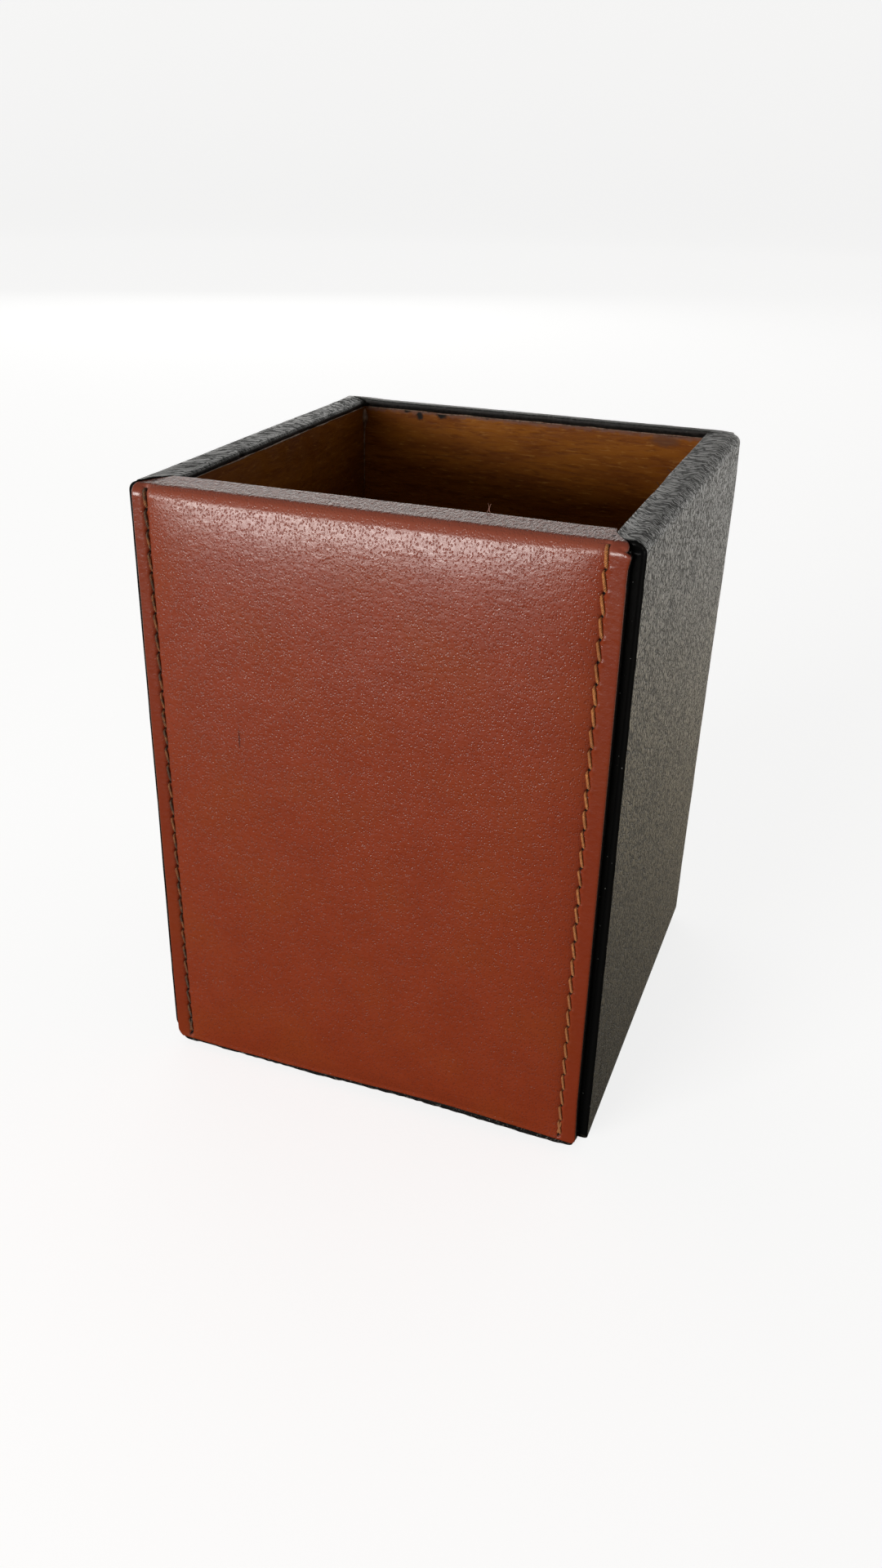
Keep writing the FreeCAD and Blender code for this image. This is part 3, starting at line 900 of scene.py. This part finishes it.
def wrap_path(d, z, side):
    """Points of the level path at distance d outside one side wall, from its front end to the middle of the
    back, and the distance along it at the outer face."""
    mitre = MITRE_RIGHT if side > 0 else MITRE_LEFT
    front = np.interp(d, *zip(*mitre)) if z > TOP - RIM_ROUND else FRONT
    front += FOOT_EASE * fading(z - LEATHER, FOOT_HEIGHT) ** 2
    reach = min(d, CORNER_CENTRE)
    corner_x, corner_y = CAVITY_RIGHT + reach, CAVITY_BACK + behind(reach, z)
    radius = max(d - CORNER_CENTRE, 0)
    length = CAVITY_BACK + BACK_CENTRE - FRONT
    edge = np.array(WRAP_EDGE_LINES)
    near = np.arange(8, -1, -1) * CORNER_STEP
    middle = np.linspace(edge[-1], length - near[0], 112)[1:-1]
    side_run = np.concatenate([edge, middle, length - near]) / length
    turn = np.linspace(0, math.pi / 2, 9)[1:]
    half = CAVITY_RIGHT + CORNER_CENTRE
    back_run = np.concatenate([near[-2::-1], np.linspace(near[0], half, 57)[1:]]) / half
    x = np.concatenate([np.full(len(side_run), CAVITY_RIGHT + d), corner_x + radius * np.cos(turn),
                        corner_x * (1 - back_run)])
    y = np.concatenate([front + (corner_y - front) * side_run, corner_y + radius * np.sin(turn),
                        np.full(len(back_run), CAVITY_BACK + behind(d, z))])
    bend = (WALL - CORNER_CENTRE) * turn
    along = np.concatenate([length * side_run, length + bend, length + bend[-1] + half * back_run])
    return side * x, y, along


def wrap_normal(x, y):
    """Level outward direction at a point of the wrap's path."""
    off_x = np.abs(x) - CAVITY_RIGHT - CORNER_CENTRE
    off_y = (y - CAVITY_BACK - BACK_CENTRE) * CORNER_CENTRE / BACK_CENTRE
    round_corner = (off_x > 0) & (off_y > 0)
    off_y = np.where(round_corner, y - CAVITY_BACK - BACK_CENTRE, off_y)
    beside = off_x >= off_y
    normal_x = np.where(round_corner, off_x, beside)
    normal_y = np.where(round_corner, off_y, ~beside)
    size = np.hypot(normal_x, normal_y)
    return np.sign(x) * normal_x / size, normal_y / size


def right_lean(x, y, z):
    """The right wall stands a little out of square: in at the top front, out at its foot and at the back."""
    share_up = (z - WRAP_LOW[2]) / (TOP - WRAP_LOW[2])
    share_back = smooth((y - FRONT) / (WRAP_HIGH[1] - FRONT))
    shift = (0.35 - 0.7 * share_up) * (1 - share_back) + 0.5 * share_back
    return shift * smooth((x - CAVITY_RIGHT) / WALL)


def wrap_relief(x, y, z, d, on_rim):
    """How far the wrap swells or sinks: slow waves, a soft dent low on the right, a rounder back right corner
    and, on the rim, rounded cut edges and the gap at the back left mitre. The back's rim is flatter."""
    slow = 0.06 * noise((x + 0.7 * y) / 13 + 40, (z + 0.6 * (x - y)) / 15 + 40, 31)
    fine = 0.02 * noise((x + 0.8 * y) / 2.3 + 60, (z + 0.5 * (x - y)) / 3.1 + 60, 32)
    lift = (slow + fine) * smooth((z - LEATHER - 0.2) / 2)
    lift = lift - 0.16 * bell(x - WRAP_HIGH[0], 0.8) * bell(y - DENT[0], 0.7) * bell(z - DENT[1], 7)
    lift = lift - 0.45 * bell(np.hypot(x - WRAP_HIGH[0], y - WRAP_HIGH[1]), 2.2) * bell(z - TOP, 6)
    if on_rim:
        corner = np.hypot(x + CAVITY_RIGHT + d, y - CAVITY_BACK - behind(d, TOP))
        gap = 0.85 * bell(corner, 0.3) * smooth((2.9 - d) / 1.2)
        edge = 0.25 * fading(d, WRAP_EDGE_LINES[-1]) ** 2
        across = 0.22 * bell(d - 3.6, 2.2) - edge - 0.12 * bell(d, 1.2)
        at_back = smooth((y - CAVITY_BACK + 1) / 1.5)
        flatter = 1 - (1 - BACK_CENTRE / CORNER_CENTRE) * at_back
        puffed = 0.16 * bell(np.hypot(x - PUFF[0], y - PUFF[1]), 3.5) + 0.2 * at_back
        lift = lift + flatter * across + puffed - gap
    return lift


def hand_cut(x, y, d):
    """The rim's inner edge is cut by hand: a little wavy, with one nick on the left. None at the corners."""
    near = smooth(1 - d / 1.5)
    from_corner = np.maximum(CAVITY_BACK - y, CAVITY_RIGHT - np.abs(x))
    nick = 0.55 * bell(y - NICK_Y, 0.45) * (x < CAVITY_LEFT + 1)
    return near * smooth(from_corner / 3) * (0.1 * noise((x + y) / 5 + 30, 0.5, 41) + nick)


def wrap_row(d, z, out_d, out_z, side):
    """One row of outer and inner points on half of the wrap, and the distance along it."""
    on_rim = out_z > 0.99
    x, y, along = wrap_path(d, z, side)
    normal_x, normal_y = wrap_normal(x, y)
    lift = wrap_relief(x, y, z, d, on_rim)
    cut = hand_cut(x, y, d) if on_rim else np.zeros_like(x)
    level = lift * out_d + cut
    leaning = x + right_lean(x, y, z)
    outer = together(leaning + normal_x * level, y + normal_y * level, z + lift * out_z)
    in_x, in_y, _ = wrap_path(min(d, WALL - LEATHER), z, side)
    in_z = np.clip(z, WOOD_BOTTOM, WOOD_TOP)
    inner = together(in_x + normal_x * cut, in_y + normal_y * cut, in_z)
    return outer, inner, along


def build_leather_wrap(leather, edge, coat):
    profile, up = wrap_profile()
    outer, inner, flat = [], [], []
    for (d, z, out_d, out_z), height in zip(profile, up):
        right, right_in, along = wrap_row(d, z, out_d, out_z, 1)
        left, left_in, _ = wrap_row(d, z, out_d, out_z, -1)
        outer.append(np.concatenate([right, left[-2::-1]]))
        inner.append(np.concatenate([right_in, left_in[-2::-1]]))
        whole = np.concatenate([along, 2 * along[-1] - along[-2::-1]])
        flat.append(together(whole, height))
    points, faces, sides = thick_sheet(np.array(outer), np.array(inner), 3)
    slots = [{3: 1, 4: 2, 5: 2}.get(side, 0) for side in sides]
    piece = add_piece("leather_wrap_skin", points, faces, leather, edge, coat, face_slots=slots)
    set_uv(piece, np.array(flat))
    weld(piece)
    stand_in(piece, "leather_wrap")


def weld(piece):
    """Merges points that fall together, as at the sharp inner corners of the rim."""
    mesh = bmesh.new()
    mesh.from_mesh(piece.data)
    bmesh.ops.remove_doubles(mesh, verts=mesh.verts, dist=1e-7)
    bmesh.ops.dissolve_degenerate(mesh, edges=mesh.edges, dist=1e-8)
    mesh.to_mesh(piece.data)
    mesh.free()
    piece.data.update()


# Gloss strips, pad and foam

def build_edge_strip(name, coat):
    node_name = "front_edge_strip_" + name
    low, high = box_mm(node_name)
    seed = 51 if name == "left" else 52
    x, z = upright_grid(low, high, 22, 160)
    towards_wall = np.clip((np.abs(x) - abs(x).min()) / (high[0] - low[0]), 0, 1)
    lumps = 0.05 * noise(x / 0.9, z / 2.5, seed) + 0.04 * noise(x / 3, z / 9, seed + 10)
    foot = fading(z - low[2], FOOT_HEIGHT) ** 2
    z = z + 0.45 * foot * towards_wall ** 4
    front = low[1] + (FRONT - low[1]) * towards_wall + 0.5 * foot * towards_wall ** 2
    points, faces, _ = thick_sheet(together(x, front - lumps, z), together(x, high[1], z), 3)
    piece = add_piece("gloss_strip_" + name, points, faces, coat)
    stand_in(piece, node_name)


PAD_PROUD = 0.55         # how far the pad stands out below the front, towards its two corners
PAD_CORNER = 1.5
PAD_STEP = 0.4

# Share of the pad's height, and how far its edge draws in there
PAD_LAYERS = [(0.0, 0.6), (0.0, 0.2), (0.08, 0.05), (0.3, 0.0), (0.55, 0.04), (0.8, 0.0), (0.95, 0.1),
              (1.0, 0.4)]


def pad_outline():
    """Points round the pad, and the outward direction at each."""
    left, front = PAD_LOW[:2] + PAD_CORNER
    right, back = PAD_HIGH[:2] - PAD_CORNER
    centres = np.array([(right, front), (right, back), (left, back), (left, front)])
    outline, outward = [], []
    for k, centre in enumerate(centres):
        for angle in np.radians(np.linspace(90 * k - 90, 90 * k, 7)):
            direction = np.array([math.cos(angle), math.sin(angle)])
            outline.append(centre + PAD_CORNER * direction)
            outward.append(direction)
        first, target = outline[-1], centres[(k + 1) % 4] + PAD_CORNER * direction
        count = int(np.linalg.norm(target - first) / PAD_STEP)
        outline += [first + share * (target - first) for share in np.arange(1, count) / count]
        outward += [direction] * (count - 1)
    return np.array(outline), np.array(outward)


def build_base_pad(felt):
    """A slab with a torn, fibrous edge."""
    outline, outward = pad_outline()
    x, y = outline.T
    at_front = outward[:, 1] < -0.5
    points = []
    for share, inset in PAD_LAYERS:
        ragged = 0.11 * noise(x / 0.8 + 90, y / 0.8 + 90 + 3 * share, 61)
        ragged = ragged + 0.1 * noise(x / 4 + 90, y / 4 + 90, 62)
        ring = outline + outward * (ragged - inset)[:, None]
        ring[at_front, 1] -= PAD_PROUD * (1 - bell(ring[at_front, 0] - 10, 16))
        points.append(together(*ring.T, PAD_LOW[2] + share * (PAD_HIGH[2] - PAD_LOW[2])))
    piece = add_piece("base_pad_felt", np.concatenate(points), ring_faces(len(points), len(outline)), felt)
    stand_in(piece, "base_pad")


def build_foam(material):
    """Thin foam, crowned as the leather over it is."""
    x, z = upright_grid(FOAM_LOW, FOAM_HIGH, 90, 130)
    rise = crown_at(x, z - PANEL_BOTTOM) - 0.02 + 0.01 * noise(x / 0.8, z / 0.8, 71)
    outer = together(x, FOAM_HIGH[1] - np.clip(rise, 0.05, None), z)
    points, faces, _ = thick_sheet(outer, together(x, FOAM_HIGH[1], z), 4)
    stand_in(add_piece("foam_pad", points, faces, material), "front_padding")


# Stitching

PLIES = 3
PLY_SIDES = 8
PLY_OFFSET = 0.58        # of the thread's radius
PLY_RADIUS = 0.54
TWIST_LENGTH = 0.85
STITCH_SLANT = 0.25


def stitch_line(ends, low, high, sunk, slant):
    """Centre line of one stitch: out of the leather, over it and back in, slanting down to the right."""
    t = np.linspace(-0.05, 1.05, 34)
    along = high - t * (high - low)
    x = lean(ends, height_at(along)) + slant * (2 * t - 1)
    arch = 1 - np.abs(2 * t - 1) ** 6
    return on_sheet(x, along, -sunk - HOLE_DEPTH * (1 - arch))


def twisted(line, radius, turn):
    """The plies of a thread that runs along a line."""
    along = unit(np.gradient(line, axis=0))
    side = unit(np.cross(along, [1.0, 0.0, 0.0]))
    other = np.cross(along, side)
    run = np.concatenate([[0], np.cumsum(np.linalg.norm(np.diff(line, axis=0), axis=1))])
    parts = []
    for ply in range(PLIES):
        angle = turn + 2 * math.pi * (ply / PLIES + run / TWIST_LENGTH)
        offset = PLY_OFFSET * radius * (np.cos(angle)[:, None] * side + np.sin(angle)[:, None] * other)
        parts.append(tube(line + offset, [PLY_RADIUS * radius] * len(line), PLY_SIDES))
    return parts


def build_stitching(name, ends, sunk, material):
    shake = np.random.default_rng(81 if name == "left" else 82)
    parts = []
    spans = stitch_spans()
    for i, (low, high) in enumerate(spans):
        wander = shake.uniform(-0.04, 0.04)
        top = i == len(spans) - 1
        radius = THREAD_RADIUS * (1.15 if top else shake.uniform(0.9, 1.05))
        slant = 0.1 if top else STITCH_SLANT * shake.uniform(0.85, 1.15)
        line = stitch_line((ends[0] + wander, ends[1] + wander), low, high, sunk, slant)
        parts += twisted(line, radius, shake.uniform(0, 2 * math.pi))
    low, high = spans[0]
    splayed = stitch_line(ends, low, high, sunk, -STITCH_SLANT)       # the last stitch's loose second strand
    parts += twisted(splayed, 0.8 * THREAD_RADIUS, 0.0)
    piece = add_piece("stitches_" + name, *joined(parts), material)
    stand_in(piece, "stitching_thread_" + name)


# Glue and loose fibres

# x, z and radius of each blob
COAT_BLOBS = [(35.75, 98.55, 0.34), (36.75, 98.45, 0.38), (36.0, 96.7, 0.2), (36.6, 90.7, 0.14)]


def build_glue_line(material):
    """A thin line of dried glue on the wood, just under the leather's cut inner edge."""
    parts = []
    z = WOOD_TOP - 0.08
    corners = [(CAVITY_LEFT, CAVITY_FRONT), (CAVITY_RIGHT, CAVITY_FRONT), (CAVITY_RIGHT, CAVITY_BACK),
               (CAVITY_LEFT, CAVITY_BACK)]
    for k, start in enumerate(corners):
        first, last = np.array(start), np.array(corners[(k + 1) % 4])
        share = np.linspace(0.012, 0.988, 180)
        run = first + share[:, None] * (last - first)
        along = share * 65
        radius = 0.12 + 0.13 * noise(along / 1.7, 0.5 + k, 91) + 0.08 * noise(along / 6, 0.5 + k, 92)
        drop = z - 0.1 * noise(along / 3, 0.5 + k, 93)
        parts.append(tube(np.column_stack([run, drop]), np.clip(radius, 0.03, None), 8))
    add_piece("glue_line", *joined(parts), material)


def build_glue_run(material):
    """A run of glue down the back left inside corner, with a drop near its top."""
    z = np.linspace(WOOD_TOP - 0.4, 83.5, 60)
    line = together(CAVITY_LEFT + 0.05, CAVITY_BACK - 0.5, z)
    radius = 0.1 + 0.1 * smooth((z - 84) / 12) + 0.5 * bell(z - 96.9, 1.2)
    radius = radius * (1 + 0.12 * noise(z / 1.5, 0.5, 95)) * smooth((z - 83.3) / 2)
    add_piece("glue_run", *tube(line, np.clip(radius, 0.02, None), 12), material)


def build_glue_blobs(material):
    """Glossy blobs of coat at the top of the right strip."""
    front = box_mm("front_edge_strip_right")[0][1]
    parts = []
    for k, (x, z, radius) in enumerate(COAT_BLOBS):
        mesh = bmesh.new()
        bmesh.ops.create_icosphere(mesh, subdivisions=3, radius=radius)
        shape = np.array([v.co for v in mesh.verts], float)
        faces = [[v.index for v in face.verts] for face in mesh.faces]
        mesh.free()
        swell = 1 + 0.2 * noise(shape[:, 0] / radius + 5 * k, shape[:, 2] / radius + 7, 96)
        parts.append((shape * swell[:, None] * [1.0, 0.55, 1.15] + [x, front, z], faces))
    add_piece("coat_blobs", *joined(parts), material)


def build_fibres(name, roots, material, seed):
    """Short curled fibres standing out of a cut edge. Each root is a point, a direction and a length."""
    shake = np.random.default_rng(seed)
    parts = []
    for point, direction, length in roots:
        heading = unit(np.array(direction))
        curl = shake.uniform(-0.35, 0.35, 3)
        line = [np.array(point, float)]
        for _ in range(14):
            heading = unit(heading + curl * 0.35 + shake.uniform(-0.08, 0.08, 3))
            line.append(line[-1] + heading * length / 14)
        parts.append(tube(line, np.linspace(0.05, 0.025, 15), 5))
    add_piece(name, *joined(parts), material)


# Everything together

RED_FIBRES = [((15.2, -31.2, 99.9), (-0.9, 0.3, 0.5), 1.5), ((14.4, -31.2, 99.9), (0.9, 0.3, 0.4), 1.6)]
DARK_FIBRES = [((32.6, 4.9, 99.6), (-0.9, 0.3, 0.2), 1.0), ((32.6, -4.2, 99.6), (-0.8, -0.4, 0.3), 0.8)]


def dress_cad_nodes():
    """Materials for the CAD nodes that keep their own meshes."""
    finishes = [
        (varnished_wood("stained_wood_front", ALONG_X, 0.7)[0], "front_board", "floor_board"),
        # The side boards' lower tone, 0.5, is painted shade for the dim inside walls.
        (varnished_wood("stained_wood_side_painted_shade", ALONG_Y, 0.5)[0], "left_board", "right_board"),
        (back_board_wood(), "back_board"),
        (pin_steel(), "corner_pins", "floor_pins"),
        (grey_card(), "front_infill_card", "base_infill_card"),
        (edge_paint(), "front_panel_backing"),
        (ochre_thread("bobbin_thread", 0.3), "bobbin_thread_left", "bobbin_thread_right"),
    ]
    for material, *names in finishes:
        for name in names:
            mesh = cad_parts[name].data
            mesh.materials.clear()
            mesh.materials.append(material)


def build_pieces():
    edge = edge_paint()
    leather = black_leather()
    coat = gloss_black()
    glue = dried_glue()
    build_front_leather(red_leather(), edge, raw_edge())
    build_leather_wrap(leather, edge, coat)
    for name in ("left", "right"):
        build_edge_strip(name, coat)
    build_base_pad(base_felt())
    build_foam(foam())
    # The left thread is darker: painted shade in its sunk seam, plus black dye blots.
    build_stitching("left", SEAM_LEFT, 0.34, ochre_thread("dyed_and_shaded_thread", 1.0))
    build_stitching("right", SEAM_RIGHT, 0.06, ochre_thread("ochre_thread", 0.0))
    build_glue_line(glue)
    build_glue_run(glue)
    build_glue_blobs(coat)
    build_fibres("loose_fibres_red", RED_FIBRES, fibre("pale_fibre", (0.4, 0.2, 0.15)), 101)
    build_fibres("loose_fibres_black", DARK_FIBRES, fibre("dark_fibre", (0.02, 0.018, 0.016)), 102)


# Floor, light and camera. Places are in metres from here on.

FLOOR_FLAT = 2.0
FLOOR_BEND = 1.0
FLOOR_TOP = 2.5
FLOOR_TURNS = 64


def build_floor():
    """A pale floor that bends up all round, so that the background is even from every side. Only the camera
    sees it, so it throws no light on the cup."""
    bend = [(FLOOR_FLAT + FLOOR_BEND * math.sin(a), FLOOR_BEND * (1 - math.cos(a)))
            for a in np.linspace(0, math.pi / 2, 12)]
    profile = [(0.5, 0.0), *bend, (FLOOR_FLAT + FLOOR_BEND, FLOOR_TOP)]
    points = [(r * math.cos(a), r * math.sin(a), z) for r, z in profile
              for a in np.arange(FLOOR_TURNS) * 2 * math.pi / FLOOR_TURNS]
    faces = ring_faces(len(profile), FLOOR_TURNS)[:-1]
    mesh = bpy.data.meshes.new("floor")
    mesh.from_pydata(points, [], [face[::-1] for face in faces])
    mesh.polygons.foreach_set("use_smooth", [True] * len(mesh.polygons))
    floor = add_object("floor", mesh)
    material, shader = new_material("floor_paper", Specular_IOR_Level=0.1, Emission_Strength=0.8,
                                    Emission_Color=(1.0, 1.0, 1.0, 1.0))
    cloud = noise_at(place_mm(shader), 0.01)
    connect(shader, Base_Color=mix(cloud, (0.5, 0.5, 0.5), (0.52, 0.52, 0.52)),
            Roughness=spread(cloud, 0.0, 1.0, 0.8, 0.9))
    mesh.materials.append(material)
    for rays in ("diffuse", "glossy", "transmission", "shadow"):
        setattr(floor, "visible_" + rays, False)


TARGET = Vector((0, 0, 0.05))            # the middle of the cup
CAMERA_PLACE = (0.06497, -0.18864, 0.14350)


def add_softbox(name, azimuth, elevation, distance, width, height, radiance, colour):
    """A soft light that faces the cup. Azimuth 0 is in front of the cup, at -Y, and grows towards +X."""
    a, e = math.radians(azimuth), math.radians(elevation)
    towards = Vector((math.sin(a) * math.cos(e), -math.cos(a) * math.cos(e), math.sin(e)))
    light = bpy.data.lights.new(name, "AREA")
    light.shape = "RECTANGLE"
    light.size = width
    light.size_y = height
    light.energy = 4 * radiance * width * height
    light.color = colour
    box = add_object(name, light)
    box.location = TARGET + towards * distance
    box.rotation_euler = (-towards).to_track_quat("-Z", "Y").to_euler()
    box.visible_camera = False


def room_light():
    """A soft room: a dark table below, a dim ceiling, and walls that are brighter in front and behind."""
    world = bpy.data.worlds.new("room")
    world.use_nodes = True
    tree = world.node_tree
    _, back, up = axes(Value(add_node(tree, "TexCoord").outputs["Generated"]))
    table = spread(up, -0.7, -0.1, 0.08, 1.45)
    ceiling = spread(up, -0.05, 0.65, 1.0, 0.12)
    walls = spread(back, -0.2, 0.5, 0.28, 1.0)
    colour = mix(spread(up, -0.45, -0.2), (1.0, 0.84, 0.58), (1.0, 0.99, 0.95))
    connect(tree.nodes["Background"], Color=colour, Strength=table * ceiling * walls)
    bpy.context.scene.world = world


def light_scene():
    room_light()
    add_softbox("window", azimuth=-150, elevation=15, distance=1.2, width=0.6, height=0.3, radiance=1.1,
                colour=(1.0, 0.99, 0.97))
    add_softbox("key", azimuth=-22, elevation=6.8, distance=1.0, width=0.6, height=0.24, radiance=13.6,
                colour=(1.0, 0.97, 0.94))


def add_camera():
    right = Vector((0.93065, 0.36542, 0.01899))
    down = Vector((0.18798, -0.43290, -0.88162))
    forward = right.cross(-down) * -1
    camera_data = bpy.data.cameras.new("camera")
    camera_data.sensor_width = 36
    camera_data.lens = 28.41
    camera_data.shift_x = 0.0175
    camera_data.shift_y = 0.0137
    camera_data.clip_start = 0.01
    camera = add_object("camera", camera_data)
    turn = Matrix((right, -down, -forward)).transposed().to_4x4()
    camera.matrix_world = Matrix.Translation(CAMERA_PLACE) @ turn
    bpy.context.scene.camera = camera


dress_cad_nodes()
build_pieces()
build_floor()
light_scene()
add_camera()
bpy.context.scene.view_settings.view_transform = "Standard"
